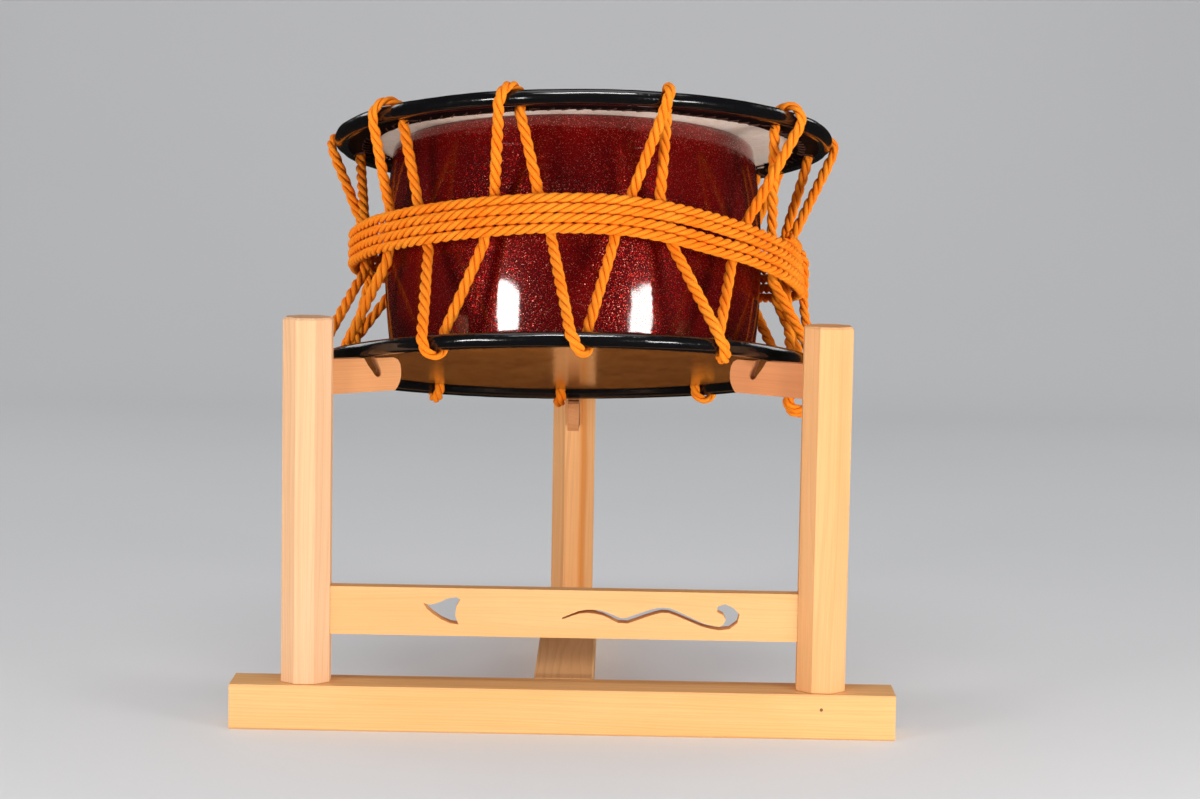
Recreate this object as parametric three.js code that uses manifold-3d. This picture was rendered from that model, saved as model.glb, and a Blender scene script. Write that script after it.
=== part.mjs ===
// Rope-laced shime-daiko drum on a three-post wooden stand.
// Millimetres, +Z up. The origin is on the floor at the centre of the front foot's underside;
// +X runs to the right along the front foot and +Y runs back towards the rear leg.

import * as THREE from 'three';
import { mergeVertices } from 'three/addons/utils/BufferGeometryUtils.js';
import Module from 'manifold-3d';

const wasm = await Module();
wasm.setup();

const rad = THREE.MathUtils.degToRad;

// ---------------------------------------------------------------- stand dimensions
const GAP = 0.3; // running and seating clearance between neighbouring pieces
const JOIN_LAP = 3; // overlap of parts united into one piece
const CUT_OVERRUN = 5; // how far a joint cutter runs past the surface
const JOINT_RELIEF = 1; // spare depth at the bottom of a joint

// feet
const FOOT_LENGTH = 440;
const FOOT_WIDTH = 40;
const FOOT_HEIGHT = 30;
const FOOT_EASE = 1.2; // broken arrises
const REAR_FOOT_OVERHANG = 22; // foot behind the rear post
const TONGUE_WIDTH = 22; // tongue of the rear foot, let into the front foot
const TONGUE_HEIGHT = 14;
const TONGUE_LENGTH = 26;
const TONGUE_BOTTOM = (FOOT_HEIGHT - TONGUE_HEIGHT) / 2;

// posts
const POST_X = 171; // front post axis from the centre plane
const REAR_POST_Y = 341;
const POST_FLATS = 32; // octagon across its flats
const FRONT_POST_TOP = 272.5;
const REAR_POST_TOP = 216;
const POST_CAP_EASE = 1.5;
const TENON = 18; // square tenon under each post
const TENON_DEPTH = 20;

// fine pin through the front foot's front face into the right post's tenon
const PIN_DIA = 1.8;
const PIN_LENGTH = 26;
const PIN_HEIGHT = 20;
const PIN_SIDES = 8;
const PIN_Y = -FOOT_WIDTH / 2 + PIN_LENGTH / 2;

// cross rail
const RAIL_BOTTOM = 62.5;
const RAIL_TOP = 94.5;
const RAIL_THICK = 12;
const RAIL_TONGUE = 8; // length of rail let into each post
const RAIL_END = POST_X - POST_FLATS / 2 + RAIL_TONGUE;

// bird-shaped piercing: [x, z]
const BIRD = [
  [-93, 84.2], [-88.5, 83.2], [-83, 84.6], [-77.5, 87.4], [-71.5, 88.6], [-68.5, 87.2], [-71.2, 82],
  [-71.8, 76], [-69.6, 70.2], [-75.5, 71], [-81.5, 73.6], [-87.4, 77.6], [-90.6, 80.4],
];
// running wave: its centre line, then the outline of the crest at its right end, both [x, z]
const WAVE_LINE = [
  [-1, 75.5], [13, 80.5], [26, 79.5], [39, 74.5], [53, 79],
  [67, 82.5], [81, 77.5], [93, 72.5], [103, 70.6],
];
const WAVE_CREST = [
  [110, 70.4], [115, 74.4], [116.4, 80.2], [112.4, 84.6], [106.6, 87.2],
  [101.6, 85.2], [101.4, 81.6], [105.6, 79.6], [107.2, 76.4], [105.6, 73.4],
];
const WAVE_STEPS = 20;
// half the wave's width is base + swell * sin² + flare * (fraction of its length);
// the sine starts at the fraction `start` of its half turn
const WAVE_WIDTH = { base: 0.35, swell: 1.25, flare: 0.8, start: 0.12 };

// drum rests; each arm board is drawn as [distance along the arm, height above its top edge]
const ARM_THICK = 8.3;
const ARM_ROOT = -3; // root end, measured from the post axis along the arm
const ARM_ROOT_HEIGHT = 23.1;
const ARM_TIP_HEIGHT = 21.1;
const ARM_STRAIGHT = 16; // the underside is level as far as this from the post axis
const ARM_ANGLE = rad(30); // front arms turned in from the front line
// notch in the top edge, then the rounded tip: [distance from the tip, height]
const ARM_END = [
  [-27.2, 0], [-24.8, -4.2], [-21.4, -8.6], [-19.1, -11.8], [-17.4, -12.9],
  [-15.5, -12.4], [-14.5, -10.7], [-14.7, -8.4], [-16.3, -5], [-18.4, 0],
  [-5.6, 0], [-2.4, -1.6], [-0.7, -4.6], [0, -8.6], [0, -12.6],
  [-0.8, -16.2], [-2.4, -19.6], [-4.2, -ARM_TIP_HEIGHT - 1],
];

// each post with its arm: reach is from post axis to arm tip,
// railSide is the side (+1 or -1 along X) that takes the cross rail
const LEFT = {
  x: -POST_X, y: 0, top: FRONT_POST_TOP, railSide: 1,
  armHeading: ARM_ANGLE, armTop: 244.1, armReach: 66,
};
const RIGHT = {
  x: POST_X, y: 0, top: FRONT_POST_TOP, railSide: -1, pinned: true,
  armHeading: Math.PI - ARM_ANGLE, armTop: 246.4, armReach: 70.5,
};
const REAR = {
  x: 0, y: REAR_POST_Y, top: REAR_POST_TOP,
  armHeading: -Math.PI / 2, armTop: 189.3, armReach: 68,
};

// ---------------------------------------------------------------- drum dimensions
// The drum has its own frame: origin at its middle, +Z along its axis.
// Angles round it run from the front towards +X.
const DRUM_Y = 144.8;
const DRUM_Z = 307;
const DRUM_TILT = 0.2043; // top leans back, radians
const DRUM_ROLL = 0.0127; // and the right-hand side sits a little higher
const RADIAL_STEPS = 40;

// shell
const SHELL_END_R = 126;
const SHELL_BELLY_R = 132;
const SHELL_HALF = 76.8; // half its height
const SHELL_INNER_R = SHELL_BELLY_R - 15;
const SHELL_END_WALL = 4;
const SHELL_END_TAPER = 16; // height over which the bore widens at each end
const SHELL_STEPS = 6;

// heads
const ROLL_R = 10.5 / 2; // hide rolled over its hoop
const RING_R = 350 / 2 - ROLL_R; // centre line of the rolled rim
const RING_Z = 79.4; // rim centre line above or below the middle
const HIDE = 1.5;
const FACE_RECESS = 6; // the playing skin lies this far below the top of the rim
const FACE_Z = RING_Z + ROLL_R - FACE_RECESS;
const FLAP_INNER_R = 146;
const FLAP_UNDER = FACE_Z - 2 * HIDE - 0.6;
// degrees round the rim section, over the outside of the hide and back along its inside
const HIDE_OUTSIDE = [188, 150, 115, 80, 45, 10, -25, -60, -92, -124];
const HIDE_INSIDE = [-130, -85, -35, 15, 65, 115, 165, 217];
const HOOP_WIRE_R = 3.4;
const HOOP_SIDES = 6;
const STITCH_R = 153;
const STITCH_CORD_R = 0.8;
const STITCH_SIDES = 4;
const HOLE_R = 4.9;
const HOLE_INSET = 9.6; // hole centre inside the rim's centre line
const HOLE_SIDES = 10;
const HOLE_CUT = 30; // length of the hole cutter

// side: +1 at the top, -1 at the bottom; shift: the head's offset along X from the shell's axis
// holes: hand-cut lacing holes in the order the lacing meets them, degrees
// over: where the rope comes over the outside of the rim beside each hole, degrees
const UPPER = {
  side: 1,
  shift: 7,
  holes: [97, 128.4, 162.8, 197.2, 231.6, 263, 311.8, 345.8, 380.5, 414.2],
  over: [94.5, 126.4, 161, 195.4, 230, 270, 308, 342.5, 378.5, 416.2],
};
const LOWER = {
  side: -1,
  shift: -4.5,
  holes: [74.5, 108, 144.5, 182.4, 216.5, 254.5, 292, 331.2, 366.2, 400],
  over: [72, 105.5, 142.5, 183.2, 214.5, 252.5, 290, 329.2, 361.8, 395.8],
};

// ropes
const ROPE_SIDES = 6;
const LACING_R = 7.4 / 2;
const BIND_R = 6.4 / 2;

// rope centre line over the rim at a hole: [outwards, upwards] from the rim's centre line
const RIM_TURN_R = 9.3;
const RIM_TURN = [
  ...[-25, -2, 20, 42, 64, 85, 106, 127, 148, 168].map((degrees) => [
    RIM_TURN_R * Math.cos(rad(degrees)),
    RIM_TURN_R * Math.sin(rad(degrees)),
  ]),
  [-9.6, -2.5], [-9.8, -8.5],
];
const IN_LINE_AT = 8; // index in RIM_TURN where the rope comes into line with its hole
const LACING_START = { inset: 11.5, rise: 12 }; // rope's first end, from the lower rim's centre line

// where each leg passes under the binding, degrees at its [upper, lower] edge
const OUTER_WAIST = [
  [91, 86], [126.5, 121.5], [161, 156], [195.5, 190.5], [230, 225],
  [267, 262], [303, 301.5], [339.8, 336.8], [375.5, 370.8], [412, 405.8],
];
const INNER_WAIST = [
  [101.5, 105], [135.9, 139.4], [170.3, 173.8], [204.7, 208.2], [239.1, 242.6],
  [277, 278.5], [315.5, 319.5], [351.2, 354.8], [383, 386.8], [426, 427],
];

// binding
const WRAPS = 4.4;
const WRAP_PITCH = 6.75;
const WRAP_START = 70; // degrees
const WRAP_STEPS = 30; // stations per turn
const WRAP_R = 156.2;
const WRAP_SHIFT = 1.6; // offset towards +X
const WRAP_Z = 0.85; // mean height of the binding's middle above the drum's middle
// it rides up at the front and back and sags at the right:
// [cosine, sine] of each harmonic round the drum
const WRAP_WAVE = [[-1.84, -4.93], [6.89, -0.11], [-0.18, 1.06], [0.36, 0.51]];
const WAIST_R = WRAP_R - BIND_R - LACING_R - 1; // lacing centre line under the binding
const WAIST_HALF = 16; // half the height of the lacing's pinched stretch

// ---------------------------------------------------------------- materials
const material = (color, roughness, metalness = 0) =>
  new THREE.MeshStandardMaterial({ color, roughness, metalness });

const PINE = material(0xe9c088, 0.6);
const PINK_PINE = material(0xdca578, 0.6);
const PIN_BROWN = material(0x8a5a30, 0.7);
const RED_LACQUER = material(0x5a1010, 0.18, 0.1);
const IRON = material(0x4a4a4c, 0.5, 0.8);
const TAN_HIDE = material(0xb39a63, 0.45);
const CORD = material(0x6e2f22, 0.9);
const ORANGE_ROPE = material(0xf08a25, 0.85);

// ---------------------------------------------------------------- solid helpers
function solid(geometry) {
  geometry.deleteAttribute('normal');
  geometry.deleteAttribute('uv');
  const merged = mergeVertices(geometry, 1e-4);
  return new wasm.Manifold(
    new wasm.Mesh({
      numProp: 3,
      vertProperties: new Float32Array(merged.attributes.position.array),
      triVerts: new Uint32Array(merged.index.array),
    }),
  );
}

function geometryOf(manifold) {
  const mesh = manifold.getMesh();
  const geometry = new THREE.BufferGeometry();
  const positions = new Float32Array(mesh.vertProperties);
  geometry.setAttribute('position', new THREE.BufferAttribute(positions, 3));
  geometry.setIndex(new THREE.BufferAttribute(new Uint32Array(mesh.triVerts), 1));
  geometry.computeVertexNormals();
  return geometry;
}

function cut(geometry, ...tools) {
  return geometryOf(tools.reduce((body, tool) => body.subtract(solid(tool)), solid(geometry)));
}

function join(first, second) {
  return geometryOf(solid(first).add(solid(second)));
}

// box from its lowest to its highest corner
function block(x0, y0, z0, x1, y1, z1) {
  const box = new THREE.BoxGeometry(x1 - x0, y1 - y0, z1 - z0);
  return box.translate((x0 + x1) / 2, (y0 + y1) / 2, (z0 + z1) / 2);
}

const vectors = (points) => points.map(([x, y]) => new THREE.Vector2(x, y));

const extrude = (shape, depth) => new THREE.ExtrudeGeometry(shape, { depth, bevelEnabled: false });

// a board drawn as [x, z], its thickness centred on y = 0
function board(shape, thickness) {
  return extrude(shape, thickness).translate(0, 0, -thickness / 2).rotateX(Math.PI / 2);
}

// closed profile of [radius, z] pairs turned about Z; LatheGeometry turns about Y
function turned(profile) {
  return new THREE.LatheGeometry(vectors(profile), RADIAL_STEPS).rotateX(Math.PI / 2);
}

// a path whose stations are used one for one by the extrusion
class StationCurve extends THREE.Curve {
  constructor(points) {
    super();
    this.points = points;
  }

  getPointAt(fraction, target = new THREE.Vector3()) {
    return target.copy(this.points[Math.round(fraction * (this.points.length - 1))]);
  }

  // mean of the directions into and out of the station
  getTangentAt(fraction, target = new THREE.Vector3()) {
    const last = this.points.length - 1;
    const i = Math.round(fraction * last);
    const here = this.points[i];
    const arriving = here.clone().sub(this.points[Math.max(0, i - 1)]).normalize();
    const leaving = this.points[Math.min(last, i + 1)].clone().sub(here).normalize();
    return target.copy(arriving.add(leaving).normalize());
  }
}

function rope(points, radius) {
  const section = Array.from({ length: ROPE_SIDES }, (_, i) => {
    const angle = (2 * Math.PI * (i + 0.5)) / ROPE_SIDES;
    return [radius * Math.cos(angle), radius * Math.sin(angle)];
  });
  return new THREE.ExtrudeGeometry(new THREE.Shape(vectors(section)), {
    steps: points.length - 1,
    extrudePath: new StationCurve(points),
    bevelEnabled: false,
  });
}

// ---------------------------------------------------------------- feet
// a foot running from x = 0 along +X, with all four long edges chamfered
function footBar(length) {
  const half = FOOT_WIDTH / 2;
  const ease = FOOT_EASE;
  const section = [
    [-half + ease, 0], [half - ease, 0],
    [half, ease], [half, FOOT_HEIGHT - ease],
    [half - ease, FOOT_HEIGHT], [-half + ease, FOOT_HEIGHT],
    [-half, FOOT_HEIGHT - ease], [-half, ease],
  ];
  // section x -> Y, section y -> Z, extrusion -> X
  const lyingAlongX = new THREE.Matrix4().makeBasis(
    new THREE.Vector3(0, 1, 0),
    new THREE.Vector3(0, 0, 1),
    new THREE.Vector3(1, 0, 0),
  );
  return extrude(new THREE.Shape(vectors(section)), length).applyMatrix4(lyingAlongX);
}

// cutter for the socket that takes a post's tenon
function tenonSocket(x, y) {
  const half = TENON / 2 + GAP;
  const bottom = FOOT_HEIGHT - TENON_DEPTH - JOINT_RELIEF;
  return block(x - half, y - half, bottom, x + half, y + half, FOOT_HEIGHT + CUT_OVERRUN);
}

function pinHole(x) {
  const radius = PIN_DIA / 2 + GAP;
  return new THREE.CylinderGeometry(radius, radius, PIN_LENGTH + JOINT_RELIEF, PIN_SIDES)
    .translate(x, PIN_Y, PIN_HEIGHT);
}

function frontFoot() {
  const bar = footBar(FOOT_LENGTH).translate(-FOOT_LENGTH / 2, 0, 0);
  const back = FOOT_WIDTH / 2;
  const tongueSlot = block(
    -TONGUE_WIDTH / 2 - GAP, back - TONGUE_LENGTH - JOINT_RELIEF, TONGUE_BOTTOM - GAP,
    TONGUE_WIDTH / 2 + GAP, back + CUT_OVERRUN, TONGUE_BOTTOM + TONGUE_HEIGHT + GAP,
  );
  return cut(bar, tenonSocket(-POST_X, 0), tenonSocket(POST_X, 0), tongueSlot, pinHole(POST_X));
}

// rear foot with the tongue that plugs into the front foot
function rearFoot() {
  const start = FOOT_WIDTH / 2 + GAP;
  const end = REAR_POST_Y + POST_FLATS / 2 + REAR_FOOT_OVERHANG;
  const bar = footBar(end - start).rotateZ(Math.PI / 2).translate(0, start, 0);
  const tongue = block(
    -TONGUE_WIDTH / 2, FOOT_WIDTH / 2 - TONGUE_LENGTH, TONGUE_BOTTOM,
    TONGUE_WIDTH / 2, start + JOIN_LAP, TONGUE_BOTTOM + TONGUE_HEIGHT,
  );
  return cut(join(bar, tongue), tenonSocket(0, REAR_POST_Y));
}

// ---------------------------------------------------------------- posts and arms
// octagonal shaft from z = bottom to top, a flat to the front, with an eased cap
function octagonShaft(bottom, top) {
  const ring = (flats, z) =>
    Array.from({ length: 8 }, (_, i) => {
      const angle = Math.PI / 8 + (i * Math.PI) / 4;
      const radius = flats / 2 / Math.cos(Math.PI / 8);
      return [radius * Math.cos(angle), radius * Math.sin(angle), z];
    });
  const rings = [
    ring(POST_FLATS, bottom),
    ring(POST_FLATS, top - POST_CAP_EASE),
    ring(POST_FLATS - 2 * POST_CAP_EASE, top),
  ];
  const index = [];
  // sides
  for (let k = 0; k < 2; k++) {
    for (let i = 0; i < 8; i++) {
      const here = k * 8 + i;
      const next = k * 8 + ((i + 1) % 8);
      index.push(here, next, next + 8, here, next + 8, here + 8);
    }
  }
  // bottom and top
  for (let i = 1; i < 7; i++) index.push(0, i + 1, i, 16, 16 + i, 16 + i + 1);
  const geometry = new THREE.BufferGeometry();
  geometry.setAttribute('position', new THREE.Float32BufferAttribute(rings.flat(2), 3));
  geometry.setIndex(index);
  return geometry;
}

// cutter for the mortise that takes the root of an arm, in the arm's own frame
function armMortise() {
  const half = ARM_THICK / 2 + GAP;
  return block(ARM_ROOT - GAP, -half, -ARM_ROOT_HEIGHT - GAP, POST_FLATS, half, GAP);
}

// cutter for the pocket that takes the rail's end
function railPocket(railSide) {
  const near = POST_FLATS / 2 - RAIL_TONGUE - GAP;
  const [x0, x1] = railSide > 0 ? [near, POST_FLATS] : [-POST_FLATS, -near];
  const half = RAIL_THICK / 2 + GAP;
  return block(x0, -half, RAIL_BOTTOM - GAP, x1, half, RAIL_TOP + GAP);
}

function post({ x, y, top, armHeading, armTop, railSide, pinned }) {
  const half = TENON / 2;
  const tenon = block(-half, -half, FOOT_HEIGHT - TENON_DEPTH, half, half, FOOT_HEIGHT + JOIN_LAP);
  const tools = [armMortise().rotateZ(armHeading).translate(0, 0, armTop)];
  if (railSide) tools.push(railPocket(railSide));
  if (pinned) tools.push(pinHole(0));
  return cut(join(octagonShaft(FOOT_HEIGHT + GAP, top), tenon), ...tools).translate(x, y, 0);
}

function arm({ x, y, armHeading, armTop, armReach }) {
  const outline = [
    [ARM_ROOT, 0],
    ...ARM_END.map(([fromTip, height]) => [armReach + fromTip, height]),
    [ARM_STRAIGHT, -ARM_ROOT_HEIGHT],
    [ARM_ROOT, -ARM_ROOT_HEIGHT],
  ];
  return board(new THREE.Shape(vectors(outline)), ARM_THICK)
    .rotateZ(armHeading)
    .translate(x, y, armTop);
}

// ---------------------------------------------------------------- cross rail
function waveOutline() {
  const line = new THREE.CatmullRomCurve3(WAVE_LINE.map(([x, z]) => new THREE.Vector3(x, z, 0)));
  const { base, swell, flare, start } = WAVE_WIDTH;
  const upper = [];
  const lower = [];
  for (let i = 0; i <= WAVE_STEPS; i++) {
    const t = i / WAVE_STEPS;
    const point = line.getPoint(t);
    const along = line.getTangent(t);
    const half = base + swell * Math.sin(Math.PI * (start + (1 - start) * t)) ** 2 + flare * t;
    upper.push([point.x - along.y * half, point.y + along.x * half]);
    lower.push([point.x + along.y * half, point.y - along.x * half]);
  }
  return [...lower, ...WAVE_CREST, ...upper.reverse()];
}

// rail pierced with a small bird and a running wave
function crossRail() {
  const shape = new THREE.Shape(vectors([
    [-RAIL_END, RAIL_BOTTOM], [RAIL_END, RAIL_BOTTOM],
    [RAIL_END, RAIL_TOP], [-RAIL_END, RAIL_TOP],
  ]));
  for (const hole of [BIRD, waveOutline()]) shape.holes.push(new THREE.Path(vectors(hole)));
  return board(shape, RAIL_THICK);
}

// ---------------------------------------------------------------- shell and heads
// point at a radius and angle round the drum, about an axis shifted along X
const at = (radius, angle, z, shift) =>
  new THREE.Vector3(shift + radius * Math.sin(angle), -radius * Math.cos(angle), z);

// hollow barrel-shaped shell, open at both ends
function drumBody() {
  const outer = [];
  for (let i = 0; i <= SHELL_STEPS; i++) {
    const t = -1 + (2 * i) / SHELL_STEPS;
    outer.push([SHELL_END_R + (SHELL_BELLY_R - SHELL_END_R) * (1 - t * t), t * SHELL_HALF]);
  }
  const inner = [
    [SHELL_END_R - SHELL_END_WALL, SHELL_HALF],
    [SHELL_INNER_R, SHELL_HALF - SHELL_END_TAPER],
    [SHELL_INNER_R, -SHELL_HALF + SHELL_END_TAPER],
    [SHELL_END_R - SHELL_END_WALL, -SHELL_HALF],
  ];
  return turned([...outer, ...inner, outer[0]]);
}

// profiles are drawn for the upper head; the lower one is turned over about X
function turnedForHead({ side, shift }, profile) {
  const geometry = turned(profile).translate(shift, 0, 0);
  return side < 0 ? geometry.rotateX(Math.PI) : geometry;
}

// closed polygonal section centred on [radius, z]
function ringProfile(radius, z, sectionRadius, sides) {
  return Array.from({ length: sides + 1 }, (_, i) => {
    const angle = (2 * Math.PI * i) / sides;
    return [radius + sectionRadius * Math.cos(angle), z + sectionRadius * Math.sin(angle)];
  });
}

// a skin that rises over the hoop at its edge, wraps it,
// and turns back in below itself as an open flap
function headProfile() {
  const round = (radius, angles) =>
    angles.map((degrees) => [
      RING_R + radius * Math.cos(rad(degrees)),
      RING_Z + radius * Math.sin(rad(degrees)),
    ]);
  return [
    [0, FACE_Z],
    ...round(ROLL_R, HIDE_OUTSIDE),
    [FLAP_INNER_R, FLAP_UNDER],
    [FLAP_INNER_R, FLAP_UNDER + HIDE],
    ...round(ROLL_R - HIDE, HIDE_INSIDE),
    [0, FACE_Z - HIDE],
  ].reverse();
}

function lacingHole(degrees, { side, shift }) {
  return new THREE.CylinderGeometry(HOLE_R, HOLE_R, HOLE_CUT, HOLE_SIDES)
    .rotateX(Math.PI / 2)
    .translate(...at(RING_R - HOLE_INSET, rad(degrees), side * RING_Z, shift));
}

function skin(head) {
  const holes = head.holes.map((degrees) => lacingHole(degrees, head));
  return cut(turnedForHead(head, headProfile()), ...holes);
}

function hoop(head) {
  return turnedForHead(head, ringProfile(RING_R, RING_Z, HOOP_WIRE_R, HOOP_SIDES));
}

// ring of cord just below the flap
function stitching(head) {
  const z = FLAP_UNDER - GAP - STITCH_CORD_R;
  return turnedForHead(head, ringProfile(STITCH_R, z, STITCH_CORD_R, STITCH_SIDES));
}

// ---------------------------------------------------------------- ropes
// height of the binding's middle at an angle round the drum
const bindZ = (angle) =>
  WRAP_WAVE.reduce((z, [cosine, sine], i) => {
    const turn = (i + 1) * angle;
    return z + cosine * Math.cos(turn) + sine * Math.sin(turn);
  }, WRAP_Z);

// rope over the rim at one hole, from its outer side through the hole
function rimTurn({ side, shift, holes, over }, index, extraDegrees = 0) {
  const from = rad(over[index] + extraDegrees);
  const to = rad(holes[index] + extraDegrees);
  return RIM_TURN.map(([out, up], i) => {
    const angle = from + (to - from) * Math.min(1, i / IN_LINE_AT);
    return at(RING_R + out, angle, side * (RING_Z + up), shift);
  });
}

// one leg's stations under the binding, from its upper edge down
function waist([upper, lower]) {
  const stations = [[upper, WAIST_HALF], [(upper + lower) / 2, 0], [lower, -WAIST_HALF]];
  return stations.map(([degrees, z]) => {
    const angle = rad(degrees);
    return at(WAIST_R, angle, bindZ(angle) + z, WRAP_SHIFT);
  });
}

// one continuous lacing: outer leg up, over the upper rim, inner leg down,
// under the lower rim, and on
function lacingRope() {
  const { inset, rise } = LACING_START;
  const points = [at(RING_R - inset, rad(LOWER.holes[0]), -RING_Z + rise, LOWER.shift)];
  const count = UPPER.holes.length;
  for (let i = 0; i < count; i++) {
    points.push(...waist(OUTER_WAIST[i]).reverse());
    points.push(...rimTurn(UPPER, i));
    points.push(...waist(INNER_WAIST[i]));
    if (i < count - 1) points.push(...rimTurn(LOWER, i + 1));
  }
  // the last turn comes back to the first hole and stops just short of the rope's beginning
  points.push(...rimTurn(LOWER, 0, 360).slice(0, -2));
  return rope(points, LACING_R);
}

// binding drawn tight round the lacing
function bindingRope() {
  const points = [];
  for (let i = 0; i <= WRAPS * WRAP_STEPS; i++) {
    const angle = rad(WRAP_START) + (i * 2 * Math.PI) / WRAP_STEPS;
    const z = bindZ(angle) + WRAP_PITCH * (WRAPS / 2 - i / WRAP_STEPS);
    points.push(at(WRAP_R, angle, z, WRAP_SHIFT));
  }
  return rope(points, BIND_R);
}

// spare end of the binding: hung from the right-hand side past the lower rim
// and left as a short loop
function bindingTail() {
  const angle = rad(97);
  const steps = 26;
  const bindR = WRAP_R + 2 * BIND_R + 0.6; // outside the binding
  const rimR = RING_R + 9.6; // outside the rim
  const bind = bindZ(angle);
  // [radius, angle beyond the tail's own in radians, z, shift along X]
  const stations = [
    [bindR, 0, bind + 12, WRAP_SHIFT],
    [bindR, 0, bind - 14, WRAP_SHIFT],
    [bindR + 3, 0, bind - 30, WRAP_SHIFT - 2],
    [rimR, 0, -RING_Z + 10, LOWER.shift],
    [rimR, 0, -RING_Z - 8, LOWER.shift],
    [rimR - 3, 0, -RING_Z - 22, LOWER.shift],
    [rimR - 9, 0.012, -RING_Z - 31, LOWER.shift],
    [rimR - 17, 0.02, -RING_Z - 27, LOWER.shift],
    [rimR - 18.5, 0.02, -RING_Z - 17, LOWER.shift],
  ];
  const points = stations.map(([radius, turn, z, shift]) => at(radius, angle + turn, z, shift));
  const smooth = new THREE.CatmullRomCurve3(points, false, 'centripetal');
  return rope(smooth.getSpacedPoints(steps), BIND_R);
}

// ---------------------------------------------------------------- assembly
const model = new THREE.Group();
const drum = new THREE.Group();
drum.position.set(0, DRUM_Y, DRUM_Z);
drum.rotation.order = 'YXZ';
drum.rotation.set(-DRUM_TILT, -DRUM_ROLL, 0);
model.add(drum);

function addPiece(parent, name, geometry, surface) {
  const mesh = new THREE.Mesh(geometry, surface);
  mesh.name = name;
  parent.add(mesh);
  return mesh;
}

addPiece(model, 'front_foot', frontFoot(), PINE);
addPiece(model, 'left_post', post(LEFT), PINE);
addPiece(model, 'right_post', post(RIGHT), PINE);
addPiece(model, 'left_arm', arm(LEFT), PINK_PINE);
addPiece(model, 'right_arm', arm(RIGHT), PINK_PINE);
const pin = new THREE.CylinderGeometry(PIN_DIA / 2, PIN_DIA / 2, PIN_LENGTH, PIN_SIDES);
addPiece(model, 'right_tenon_pin', pin, PIN_BROWN).position.set(POST_X, PIN_Y, PIN_HEIGHT);
addPiece(model, 'cross_rail', crossRail(), PINE);
addPiece(model, 'rear_foot', rearFoot(), PINE);
addPiece(model, 'rear_post', post(REAR), PINE);
addPiece(model, 'rear_arm', arm(REAR), PINK_PINE);

addPiece(drum, 'drum_body', drumBody(), RED_LACQUER);
for (const [level, head] of [['upper', UPPER], ['lower', LOWER]]) {
  addPiece(drum, `${level}_hoop`, hoop(head), IRON);
  addPiece(drum, `${level}_head`, skin(head), TAN_HIDE);
  addPiece(drum, `${level}_head_stitching`, stitching(head), CORD);
}
addPiece(drum, 'lacing_rope', lacingRope(), ORANGE_ROPE);
addPiece(drum, 'binding_rope', bindingRope(), ORANGE_ROPE);
addPiece(drum, 'binding_rope_tail', bindingTail(), ORANGE_ROPE);

export default model;
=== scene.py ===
"""Rope-laced drum leaning back on a wooden stand, dressed over its CAD pieces.

The front of the stand faces -Y, +X is its right as the camera sees it and +Z is up. The drum is
built about its own axis, z along the shell, then leaned back and moved into place by to_world().
Angles round the drum are degrees from its front (-Y) towards +X.
Lengths are millimetres until a mesh is made; stage, lights and camera are in metres.
"""

import math

import bpy
import numpy as np
from mathutils import Matrix, Vector


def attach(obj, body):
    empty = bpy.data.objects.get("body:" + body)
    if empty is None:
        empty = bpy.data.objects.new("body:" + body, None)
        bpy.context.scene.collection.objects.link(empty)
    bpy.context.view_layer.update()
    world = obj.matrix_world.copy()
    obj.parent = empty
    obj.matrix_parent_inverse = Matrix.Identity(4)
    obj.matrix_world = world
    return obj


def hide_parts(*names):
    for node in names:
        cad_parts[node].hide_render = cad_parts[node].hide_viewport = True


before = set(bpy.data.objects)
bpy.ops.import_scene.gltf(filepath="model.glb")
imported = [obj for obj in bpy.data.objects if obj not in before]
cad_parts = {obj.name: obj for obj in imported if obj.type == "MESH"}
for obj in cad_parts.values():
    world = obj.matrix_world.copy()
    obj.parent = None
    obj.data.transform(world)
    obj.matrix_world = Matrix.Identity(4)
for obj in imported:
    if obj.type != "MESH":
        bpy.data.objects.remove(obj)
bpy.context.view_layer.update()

# ---------------------------------------------------------------- drum dimensions
DRUM_Y, DRUM_Z = 144.8, 307.0
DRUM_TILT, DRUM_ROLL = 0.2043, 0.0127  # radians: lean back about X, roll about Y

# shell
END_R, BELLY_R, WALL, HALF_LENGTH = 126.0, 132.0, 15.0, 76.8
LIP_R = 5.5

# heads: hide rolled over an iron hoop, each head a little off the shell's axis in x
HOOP_R, HOOP_Z, ROLL_R = 169.75, 79.4, 5.25
HIDE, FACE_RECESS = 1.5, 6.0
FACE_Z = HOOP_Z + ROLL_R - FACE_RECESS
FLAP_TOP = FACE_Z - HIDE - 0.6  # the turned-in flap lies under the face
FLAP_UNDER = FLAP_TOP - HIDE
UPPER_SHIFT, LOWER_SHIFT = 7.0, -4.5

# lacing: hole angles, and the angles where the rope climbs onto each rim
LACE_D = 7.7
LOWER_HOLES = [74.5, 108, 144.5, 182.4, 216.5, 254.5, 292, 331.2, 366.2, 400]
LOWER_OVER = [72, 105.5, 142.5, 183.2, 214.5, 252.5, 290, 329.2, 361.8, 395.8]
UPPER_HOLES = [97, 128.4, 162.8, 197.2, 231.6, 263, 311.8, 345.8, 380.5, 414.2]
UPPER_OVER = [94.5, 126.4, 161, 195.4, 230, 270, 308, 342.5, 378.5, 416.2]
# angle of each leg just above and just below the binding
WAIST_R, WAIST_HALF = 148.0, 16.0
RISING_LEGS = [
    (91, 86), (126.5, 121.5), (161, 156), (195.5, 190.5), (230, 225),
    (267, 262), (303, 301.5), (339.8, 336.8), (375.5, 370.8), (412, 405.8),
]
FALLING_LEGS = [
    (101.5, 105), (135.9, 139.4), (170.3, 173.8), (204.7, 208.2), (239.1, 242.6),
    (277, 278.5), (315.5, 319.5), (351.2, 354.8), (383, 386.8), (426, 427),
]

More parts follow.
